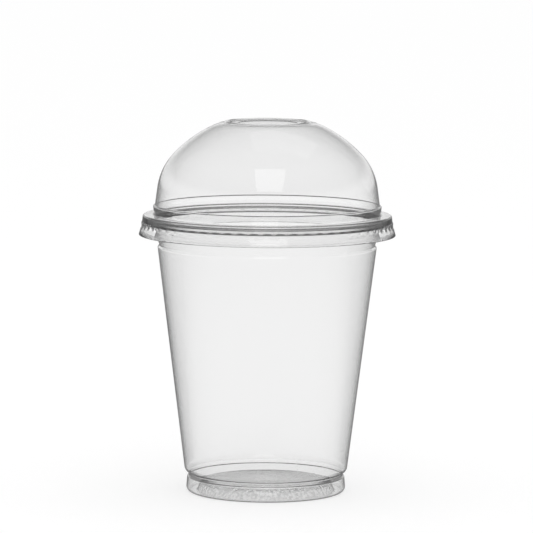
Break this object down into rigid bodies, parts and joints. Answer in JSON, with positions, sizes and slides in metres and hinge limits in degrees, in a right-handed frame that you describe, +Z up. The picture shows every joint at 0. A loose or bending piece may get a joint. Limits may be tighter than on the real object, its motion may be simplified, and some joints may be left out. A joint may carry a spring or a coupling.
{
  "type": "plastic cup with lid",
  "caption": "Clear disposable drink cup with a rolled rim and foot ring, closed by a clear dome lid that clips over the rim, with a round straw hole.",
  "frame": {"origin": "centre of the cup's foot ring, on the surface that it stands on", "axes": "+Z up along the cup's axis towards the lid; the piece is round, so +X and +Y are any two directions across it"},
  "size_m": [0.0986, 0.0986, 0.1427],
  "materials": {
    "clear_cup": "clear, glossy, thin formed sheet, frosted under the bottom panel",
    "clear_lid": "clear, glossy, thin formed sheet"
  },
  "bodies": {
    "cup": {"cup": "clear_cup"},
    "lid": {"dome_lid": "clear_lid"}
  },
  "joints": [
    {"name": "lid_lift", "type": "slide", "parent": "cup", "child": "lid", "axis": [0, 0, 1], "range_m": [0, 0.05]}
  ]
}
